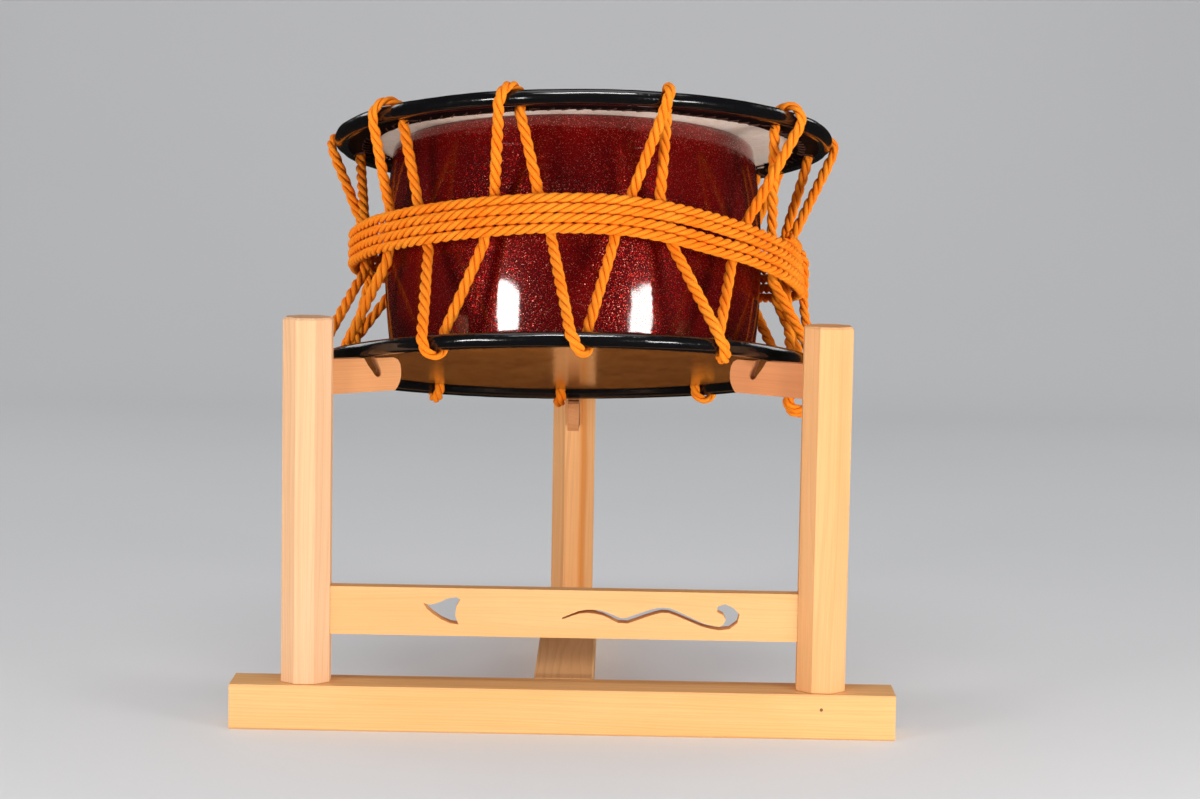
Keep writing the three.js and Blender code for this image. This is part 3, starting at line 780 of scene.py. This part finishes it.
def tangents(curve):
    tangent = np.gradient(curve, axis=0)
    tangent /= np.linalg.norm(tangent, axis=1)[:, None]
    return tangent


def carried_normals(tangent):
    """A normal carried along the curve without twisting."""
    normals = np.zeros_like(tangent)
    normal = np.array([0.3, 0.2, 0.93])
    for i in range(len(tangent)):
        normal = normal - tangent[i] * normal.dot(tangent[i])
        normal = normal / np.linalg.norm(normal)
        normals[i] = normal
    return normals


def tube(path, radii, sides, outward=None):
    """Capped tube along path; outward ties the section to a direction at each station."""
    tangent = tangents(path)
    if outward is None:
        first = carried_normals(tangent)
    else:
        first = outward - tangent * np.sum(outward * tangent, 1)[:, None]
        first /= np.linalg.norm(first, axis=1)[:, None]
    second = np.cross(tangent, first)
    angles = np.arange(sides) * 2 * math.pi / sides
    cosines, sines = np.cos(angles)[None, :, None], np.sin(angles)[None, :, None]
    section = cosines * first[:, None, :] + sines * second[:, None, :]
    verts = path[:, None, :] + radii[:, None, None] * section
    rings = np.arange(len(path) * sides).reshape(len(path), sides)
    faces = []
    for ring, following in zip(rings[:-1], rings[1:]):
        faces.extend(zip(ring, np.roll(ring, -1), np.roll(following, -1), following))
    faces.append(tuple(reversed(rings[0])))
    faces.append(tuple(rings[-1]))
    return verts.reshape(-1, 3), faces


def flatten_rope(verts, curve, tangent, index, squash):
    """Scale the rope's section along and across each station's squash direction."""
    stations = np.arange(len(squash))
    directions = np.asarray([entry[0] for entry in squash])
    along = np.stack([np.interp(index, stations, directions[:, k]) for k in range(3)], 1)
    along = along - tangent * np.sum(along * tangent, 1)[:, None]
    length = np.linalg.norm(along, axis=1)
    good = length > 0.05
    along[good] /= length[good][:, None]
    along[~good] = 0
    across = np.cross(tangent, along)
    along_factor = np.interp(index, stations, [entry[1] for entry in squash])
    across_factor = np.interp(index, stations, [entry[2] for entry in squash])

    def per_vertex(rows):
        return np.concatenate([np.repeat(rows, STRAND_SIDES, 0)] * STRANDS)

    offset = verts - per_vertex(curve)
    for direction, factor in ((along, along_factor), (across, across_factor)):
        direction = per_vertex(direction)
        stretch = (per_vertex(factor) - 1) * np.sum(offset * direction, 1)
        verts = verts + direction * stretch[:, None]
    return verts


def rope(points, diameter, lay, seed, per, squash=None):
    """Three-strand rope: verts, faces and UV.

    lay is the length of one turn; squash holds (direction, factor along it, factor across it)
    for each control point.
    """
    curve, index = catmull(points, per)
    steps = np.linalg.norm(np.diff(curve, axis=0), axis=1)
    length = np.concatenate([[0], np.cumsum(steps)])
    count = int(length[-1] / STRAND_STEP) + 1
    along = np.linspace(0, length[-1], count)
    curve = np.stack([np.interp(along, length, curve[:, k]) for k in range(3)], 1)
    index = np.interp(along, length, index)
    tangent = tangents(curve)
    normal = carried_normals(tangent)
    binormal = np.cross(tangent, normal)
    # the strands turn left-handed, and the lay breathes a little
    rate = 1 + 0.06 * wobble(along / 60.0, seed) + 0.03 * wobble(along / 17.0, seed + 3)
    travelled = np.concatenate([[0], np.cumsum(np.diff(along) * rate[1:])])
    phase = -2 * math.pi * travelled / lay
    rope_r = diameter / 2 * (1 + 0.035 * wobble(along / 23.0, seed + 7))
    end_taper = np.clip(np.minimum(along, along[-1] - along) / 3.0, 0.25, 1)
    round_strand = np.abs(np.arange(STRAND_SIDES) / STRAND_SIDES * 2 - 1)
    parts, uvs = [], []
    for k in range(STRANDS):
        angle = phase + 2 * math.pi * k / STRANDS + 0.10 * wobble(along / 31.0, seed + 11 + k)
        outward = np.cos(angle)[:, None] * normal + np.sin(angle)[:, None] * binormal
        strand_r = 0.482 * rope_r * (1 + 0.03 * wobble(along / 9.0, seed + 19 + k)) * end_taper
        path = curve + outward * (rope_r - strand_r)[:, None]
        parts.append(tube(path, strand_r, STRAND_SIDES, outward))
        uv = np.stack([np.repeat(along / 10.0, STRAND_SIDES), np.tile(round_strand, count)], 1)
        uv[:, 0] += k * 3.7
        uvs.append(uv)
    verts, faces = join(parts)
    if squash is not None:
        verts = flatten_rope(verts, curve, tangent, index, squash)
    return verts, faces, np.vstack(uvs)


def rope_material():
    """Orange rope; u runs along a strand and v across it."""
    mat = Material("orange_rope")
    strand_uv = mat.coords("UV")
    place = mat.object_mm()
    along, across, _ = mat.split(strand_uv)
    warp = mat.noise(place, scale=0.45)
    lines = across * 46.0 + along * 9.0 + warp * 5.0
    yarn = mat.math("MULTIPLY_ADD", mat.math("SINE", lines), 0.5, 0.5)
    hair = mat.noise(place, scale=2.6, detail=3, roughness=0.7)
    tone = mat.noise(place, scale=0.045)
    base = mat.mix(
        mat.ramp(tone, (0.35, 0), (0.68, 1)), (0.98, 0.255, 0.010), (1.0, 0.345, 0.024)
    )
    # painted shade and painted highlight: the hair noise that raises the fibres in the bump darkens
    # the low fibres and lightens the high ones to pale yellow
    base = mat.mix(mat.ramp(hair, (0.30, 0.5), (0.55, 0)), base, (0.76, 0.098, 0.002))
    base = mat.mix(mat.ramp(hair, (0.56, 0), (0.75, 0.5)), base, (1.0, 0.58, 0.14))
    # painted shade: the colour darkens between the yarns, where the yarn relief is low
    base = mat.mix((1.0 - yarn) * 0.18, base, (0.74, 0.10, 0.002))
    # painted shade: the base colour darkens in the grooves between the strands, where ambient
    # occlusion finds them
    painted_groove_shade = mat.value("ShaderNodeAmbientOcclusion", {"Distance": 0.0022}, "AO", samples=4)
    base = mat.mix(mat.ramp(painted_groove_shade, (0.30, 0.75), (0.85, 0)), base, (0.55, 0.045, 0.001))
    relief = yarn * 0.45 + hair * 0.75
    mat.set({
        "Base Color": base,
        "Roughness": 0.82,
        "Specular IOR Level": 0.08,
        "Sheen Weight": 0.04,
        "Sheen Roughness": 0.45,
        "Sheen Tint": (1.0, 0.55, 0.18),
        "Subsurface Weight": 0.12,
        "Subsurface Radius": (1.0, 0.35, 0.08),
        "Subsurface Scale": 0.0016,
        "Normal": mat.bump(relief, strength=0.55, distance=0.00030),
    })
    return mat.material


ROPE = rope_material()


def add_rope(name, node, verts, faces, uv):
    piece = make(name, to_world(verts), faces, uv=uv)
    fit_to_drum(piece, node, ROPE)


def binding_height(degrees):
    """Height of the binding's middle line round the drum."""
    angle = math.radians(degrees)
    return WRAP_Z + sum(
        cosine * math.cos((k + 1) * angle) + sine * math.sin((k + 1) * angle)
        for k, (cosine, sine) in enumerate(WRAP_WAVE)
    )


# ---------------------------------------------------------------- lacing
# A lacing station is (position, squash direction, factor along it, factor across it).
OVER_RIM_R = 8.55  # from the hoop's centre to the rope's
OVER_RIM = (-25, -2, 20, 42, 64, 85, 106, 127, 148, 168)  # degrees round the roll from outside


def rim_turn(over, hole, side, shift, number):
    """Stations over the rim, from its outer side through the hole."""
    # outward, away from the middle, squash direction (outward, away), two factors
    section = []
    for degrees in OVER_RIM:
        cosine, sine = math.cos(math.radians(degrees)), math.sin(math.radians(degrees))
        section.append((OVER_RIM_R * cosine, OVER_RIM_R * sine, cosine, sine, 0.84, 1.08))
    section += [(-9.2, -2.5, -1, 0, 0.92, 1.0), (-9.6, -8.5, -1, 0, 1.0, 1.0)]
    # each loop leans a touch its own way, as hand-drawn rope does
    tangent = polar(1, over + 90, 0)
    lean = 0.6 * math.sin(number * 2.3 + side)
    stations = []
    for i, (out, away, squash_out, squash_away, along, across) in enumerate(section):
        degrees = over + (hole - over) * min(1.0, i / (len(section) - 4))
        position = polar(HOOP_R + out, degrees, side * (HOOP_Z + away), shift)
        position = position + tangent * lean * (i / (len(section) - 1) - 0.5)
        direction = polar(1, degrees, 0) * squash_out + np.array([0, 0, side * squash_away])
        stations.append((position, direction, along, across))
    return stations


def waist(leg, rising):
    """Three stations where a leg passes under the binding."""
    above, below = leg
    places = [(above, WAIST_HALF), ((above + below) / 2, 0.0), (below, -WAIST_HALF)]
    if rising:
        places.reverse()
    return [
        (
            polar(WAIST_R, degrees, binding_height(degrees) + z, WRAP_SHIFT),
            polar(1, degrees, 0),
            0.9 if z == 0 else 0.97,
            1.0,
        )
        for degrees, z in places
    ]


def straighten_legs(stations):
    """Add three points on the chord of every long span, with a slight sag."""
    result = []
    for i, station in enumerate(stations):
        result.append(station)
        if i + 1 == len(stations):
            break
        following = stations[i + 1]
        if np.linalg.norm(following[0] - station[0]) > 35:
            for part in (0.14, 0.5, 0.86):
                sag = 0.25 * math.sin(i * 1.7 + part)
                chord = station[0] * (1 - part) + following[0] * part
                position = chord + np.array([sag, sag * 0.4, 0])
                direction = station[1] * (1 - part) + following[1] * part
                result.append((position, direction, 1.0, 1.0))
    return result


def build_lacing():
    """One rope zigzagging between the heads, all the way round."""
    first = LOWER_HOLES[0]
    outward = polar(1, first, 0)
    stations = [
        (polar(HOOP_R - 9.8, first, -HOOP_Z + 0.5, LOWER_SHIFT), outward, 1.0, 1.0),
        (polar(HOOP_R - 9.6, first + 0.4, -HOOP_Z + 8, LOWER_SHIFT), outward, 1.0, 1.0),
    ]
    count = len(UPPER_HOLES)
    for k in range(count):
        last = k + 1 == count
        following, full = (0, 360) if last else (k + 1, 0)
        stations += waist(RISING_LEGS[k], rising=True)
        stations += rim_turn(UPPER_OVER[k], UPPER_HOLES[k], 1, UPPER_SHIFT, k)
        stations += waist(FALLING_LEGS[k], rising=False)
        over, hole = LOWER_OVER[following] + full, LOWER_HOLES[following] + full
        lower_turn = rim_turn(over, hole, -1, LOWER_SHIFT, k + 20)
        stations += lower_turn[:-2] if last else lower_turn
    stations = straighten_legs(stations)
    points = [station[0] for station in stations]
    squash = [station[1:] for station in stations]
    strands = rope(points, LACE_D, lay=25.5, seed=2, per=8, squash=squash)
    add_rope("lacing", "lacing_rope", *strands)


build_lacing()


# ---------------------------------------------------------------- binding
def build_binding():
    """Rope wound round the middle, downwards, over the lacing legs."""
    crossings = sorted((a + b) / 2 % 360 for a, b in RISING_LEGS + FALLING_LEGS)
    per_turn = 120
    points, squash = [], []
    for i in range(int(WRAPS * per_turn) + 1):
        turns = i / per_turn
        degrees = WRAP_START + 360 * turns
        near = min(degrees_apart(degrees, crossing) for crossing in crossings)
        over_leg = 0.75 * math.exp(-((near / 4.0) ** 2))
        wander = 0.55 * float(wobble(turns * 9.0, 41)) + 0.35 * float(wobble(turns * 23.0, 43))
        # the lower turns part from the upper ones on the front right,
        # and all spread and cone out at the right side
        angle = (degrees + 180) % 360 - 180
        part = 2.0 * math.exp(-(((angle - 36) / 13) ** 2)) if turns > 2.4 else 0.0
        side = math.exp(-(((angle - 82) / 27) ** 2))
        radius = WRAP_R - 0.9 + over_leg + 0.25 * float(wobble(turns * 15, 47))
        radius += 2.6 * side * turns / WRAPS
        z = binding_height(degrees) + WRAP_PITCH * (1 + 0.15 * side) * (WRAPS / 2 - turns)
        z += 0.45 * wander - part
        points.append(polar(radius, degrees, z, WRAP_SHIFT))
        squash.append((polar(1, degrees, 0), 0.95, 1.0))
    strands = rope(points, BIND_D, lay=23.5, seed=5, per=3, squash=squash)
    add_rope("binding", "binding_rope", *strands)


build_binding()


def build_tail():
    """Loose end hanging from the binding, hooked under the lower rim, with a turn round it."""
    angle = 97.0
    rim = HOOP_R + 9.4
    over = WRAP_R + BIND_D - 0.4
    top = binding_height(angle)
    bottom = -HOOP_Z
    # radius, degrees, z, shift
    hanging = [
        (over - 5, angle - 3, top + 17, WRAP_SHIFT),
        (over - 0.5, angle - 1, top + 11, WRAP_SHIFT),
        (over + 0.4, angle, top, WRAP_SHIFT),
        (over, angle + 0.2, top - 14, WRAP_SHIFT),
        (over + 3, angle + 0.3, top - 30, WRAP_SHIFT - 2),
        (rim, angle, bottom + 10, LOWER_SHIFT),
        (rim, angle, bottom - 8, LOWER_SHIFT),
        (rim - 5, angle, bottom - 21, LOWER_SHIFT),
        (rim - 12, angle + 0.5, bottom - 29, LOWER_SHIFT),
        (rim - 19.5, angle + 0.9, bottom - 26.5, LOWER_SHIFT),
        (rim - 22, angle + 1.0, bottom - 17, LOWER_SHIFT),
    ]
    loop = []
    for turn in range(-60, 321, 38):
        radius = rim - 13 + 8.5 * math.cos(math.radians(turn))
        z = bottom - 21 + 6.5 * math.sin(math.radians(turn))
        loop.append((radius, angle - 1.2 - 1.5 * turn / 360, z, LOWER_SHIFT))
    parts, uvs = [], []
    for k, stations in enumerate((hanging, loop)):
        points = [polar(*station) for station in stations]
        verts, faces, uv = rope(points, BIND_D - 0.3, lay=22, seed=9 + k, per=14)
        parts.append((verts, faces))
        uvs.append(uv)
    add_rope("binding_tail", "binding_rope_tail", *join(parts), np.vstack(uvs))


build_tail()


# ---------------------------------------------------------------- stitching on the flaps
STITCHES = 96
# stations as (radius, degrees, depth below the flap's outer face)
WHIP_STITCH = [
    (150.6, -1.15, -0.35), (151.2, -0.9, 0.45), (153.2, 0, 0.62), (155.2, 0.9, 0.45),
    (155.8, 1.15, -0.35),
]
# the hole threads' offsets, and stations as (radius, offset factor, extra degrees, depth)
HOLE_THREADS = (-3.2, -2.45, 2.45, 3.2)
HOLE_THREAD = [
    (155.2, 1.05, 0, -0.2), (156.6, 1, 0, 0.55), (160.0, 0.86, 0, 0.75),
    (162.6, 0.86, 0.25, 1.9), (163.9, 0.9, 0, 3.4),
]


def thread(points, radius):
    """Thin tube, narrowed at both ends."""
    curve, _ = catmull(points, 4)
    number = np.arange(len(curve))
    taper = np.clip(np.minimum(number, number[::-1]) / 1.5 + 0.45, 0, 1)
    return tube(curve, radius * taper, sides=7)


def build_stitches(name, node, shift, side, holes, material):
    parts = []
    # slanted whip stitches, their ends sinking into the hide
    for i in range(STITCHES):
        middle = 360.0 * i / STITCHES
        if min(degrees_apart(middle, hole) for hole in holes) < 2.2:
            continue
        wander = 0.35 * float(wobble(i * 0.9, 3))
        points = []
        for k, (radius, turn, depth) in enumerate(WHIP_STITCH):
            # only the first and last stations and those between follow the same wander
            points.append(
                polar(radius + wander, middle + turn, side * (FLAP_UNDER - depth), shift)
            )
        parts.append(thread(points, 0.55))
    # threads that whip the edge of each lacing hole
    for hole in holes:
        for offset in HOLE_THREADS:
            sign = 1 if offset > 0 else -1
            points = [
                polar(r, hole + offset * factor + extra * sign, side * (FLAP_UNDER - depth), shift)
                for r, factor, extra, depth in HOLE_THREAD
            ]
            parts.append(thread(points, 0.42))
    verts, faces = join(parts)
    piece = make(name, to_world(verts), faces)
    fit_to_drum(piece, node, material)


def cord_material():
    mat = Material("waxed_cord")
    fibre = mat.noise(mat.object_mm(), scale=1.8, detail=3, roughness=0.65)
    mat.set({
        "Base Color": mat.mix(
            mat.ramp(fibre, (0.35, 0), (0.65, 1)), (0.018, 0.009, 0.008), (0.10, 0.030, 0.016)
        ),
        "Roughness": 0.55,
        "Normal": mat.bump(fibre, strength=0.5, distance=0.0002),
    })
    return mat.material


CORD = cord_material()
build_stitches("upper_stitches", "upper_head_stitching", UPPER_SHIFT, 1, UPPER_HOLES, CORD)
build_stitches("lower_stitches", "lower_head_stitching", LOWER_SHIFT, -1, LOWER_HOLES, CORD)


# ---------------------------------------------------------------- floor
FLOOR_HALF = 6.5
CURVE_START, CURVE_R, WALL_TOP = 1.9, 0.9, 3.2


def paper_material():
    mat = Material("paper_floor")
    place = mat.coords()
    tone = mat.noise(place, scale=2.0, detail=3)
    grain = mat.noise(place, scale=900.0)
    mat.set({
        "Base Color": mat.mix(tone, (0.61, 0.61, 0.625), (0.66, 0.66, 0.67)),
        "Roughness": 0.75,
        "Emission Color": (0.97, 0.985, 1.0),
        "Emission Strength": 0.15,
        "Specular IOR Level": 0.2,
        "Normal": mat.bump(grain, strength=0.15, distance=0.0004),
    })
    # the pale room would bleach every lacquered surface, so mirror-like rays find it dim
    glossy = mat.value("ShaderNodeLightPath", output="Is Glossy Ray")
    dim = mat.value("ShaderNodeEmission", {"Color": (0.05, 0.045, 0.038), "Strength": 0.3})
    mat.put(mat.output.inputs[0], mat.mix_shader(glossy, mat.surface.outputs[0], dim))
    return mat.material


def build_floor():
    """Paper sweep: flat floor curving up into a wall at the back."""
    profile = [(-FLOOR_HALF, 0.0), (CURVE_START, 0.0)]
    for i in range(1, 25):
        angle = math.radians(90 * i / 24)
        y = CURVE_START + CURVE_R * math.sin(angle)
        profile.append((y, CURVE_R * (1 - math.cos(angle))))
    profile.append((CURVE_START + CURVE_R, WALL_TOP))
    verts = [(x, y, z) for y, z in profile for x in (-FLOOR_HALF, FLOOR_HALF)]
    faces = [(2 * i, 2 * i + 1, 2 * i + 3, 2 * i + 2) for i in range(len(profile) - 1)]
    piece = make("studio_floor", verts, faces)
    piece.data.materials.append(paper_material())


build_floor()


# ---------------------------------------------------------------- lights
AIM = (0.0, 0.10, 0.26)
WHITE = (1, 1, 1)
WARM = (1.0, 0.985, 0.96)
CARD = (1.0, 0.97, 0.92)
# name, place, target, (width, height), watts, colour, kind of ray that misses it.
# The cards near the floor only lift the undersides; the rim streak is seen only as the
# white streak along the lacquered rims.
LIGHTS = [
    ("softbox_left", (-1.27, -1.50, 0.42), AIM, (0.44, 0.29), 12.5, WARM, None),
    ("softbox_right", (1.42, -1.42, 0.42), AIM, (0.56, 0.29), 13, WARM, None),
    ("front_strip", (0.0, -0.85, 1.95), AIM, (1.3, 0.22), 7.5, WHITE, None),
    ("overhead", (0.0, 0.25, 2.3), (0, 0.15, 0.2), (1.6, 1.2), 7.5, (0.98, 0.99, 1.0), None),
    ("back_left", (-1.6, 1.5, 1.3), AIM, (0.9, 0.7), 4.5, WHITE, None),
    ("back_right", (1.6, 1.5, 1.3), AIM, (0.9, 0.7), 4.5, WHITE, None),
    ("card_left", (-0.72, -0.60, 0.05), (-0.04, 0.05, 0.36), (0.5, 0.5), 4.5, CARD, "glossy"),
    ("card_right", (0.76, -0.60, 0.05), (0.06, 0.05, 0.36), (0.5, 0.5), 9.0, CARD, "glossy"),
    ("rim_streak", (0.10, -0.80, 1.95), AIM, (0.95, 0.22), 16, WHITE, "diffuse"),
]


def add_light(name, place, target, size, watts, colour, hidden_from):
    light = bpy.data.lights.new(name, "AREA")
    light.shape = "RECTANGLE"
    light.size, light.size_y = size
    light.energy = watts
    light.color = colour
    lamp = bpy.data.objects.new(name, light)
    lamp.location = place
    direction = Vector(target) - Vector(place)
    lamp.rotation_euler = direction.to_track_quat("-Z", "Y").to_euler()
    bpy.context.scene.collection.objects.link(lamp)
    lamp.visible_camera = False
    if hidden_from:
        setattr(lamp, "visible_" + hidden_from, False)


for row in LIGHTS:
    add_light(*row)


# ---------------------------------------------------------------- world
def build_world():
    """Pale room light; glossy rays find it dim and the camera sees plain grey."""
    world = bpy.data.worlds.new("studio")
    bpy.context.scene.world = world
    graph = Graph(world)

    def background(colour, strength):
        return graph.value("ShaderNodeBackground", {"Color": colour, "Strength": strength})

    rays = graph.node("ShaderNodeLightPath").outputs
    room = background((0.80, 0.82, 0.86), strength=0.20)
    dim = background((0.05, 0.05, 0.055), strength=0.30)
    backdrop = background((0.40, 0.405, 0.42), strength=1.0)
    lit = graph.mix_shader(rays["Is Glossy Ray"], room, dim)
    seen = graph.mix_shader(rays["Is Camera Ray"], lit, backdrop)
    graph.node("ShaderNodeOutputWorld", {"Surface": seen})


build_world()

# ---------------------------------------------------------------- camera
CAMERA_PLACE = (0.0335, -1.9915, 0.435)
PITCH, YAW, ROLL = 0.107, 0.006, 0.017  # radians: down, to the left, clockwise tilt of the axes


def build_camera():
    """View of the stand from slightly above its front."""
    level_forward = Vector((-math.sin(YAW), math.cos(YAW), 0))
    level_right = Vector((math.cos(YAW), math.sin(YAW), 0))
    vertical = Vector((0, 0, 1))
    forward = math.cos(PITCH) * level_forward - math.sin(PITCH) * vertical
    pitched_up = math.sin(PITCH) * level_forward + math.cos(PITCH) * vertical
    right = math.cos(ROLL) * level_right + math.sin(ROLL) * pitched_up
    up = -math.sin(ROLL) * level_right + math.cos(ROLL) * pitched_up

    data = bpy.data.cameras.new("camera")
    data.sensor_width = 36.0
    data.lens = 91.23
    data.clip_start, data.clip_end = 0.05, 30
    camera = bpy.data.objects.new("camera", data)
    bpy.context.scene.collection.objects.link(camera)
    turn = Matrix((right, up, -forward)).transposed().to_4x4()
    camera.matrix_world = Matrix.Translation(CAMERA_PLACE) @ turn
    bpy.context.scene.camera = camera


build_camera()
bpy.context.scene.view_settings.view_transform = "Standard"
bpy.context.scene.view_settings.look = "None"
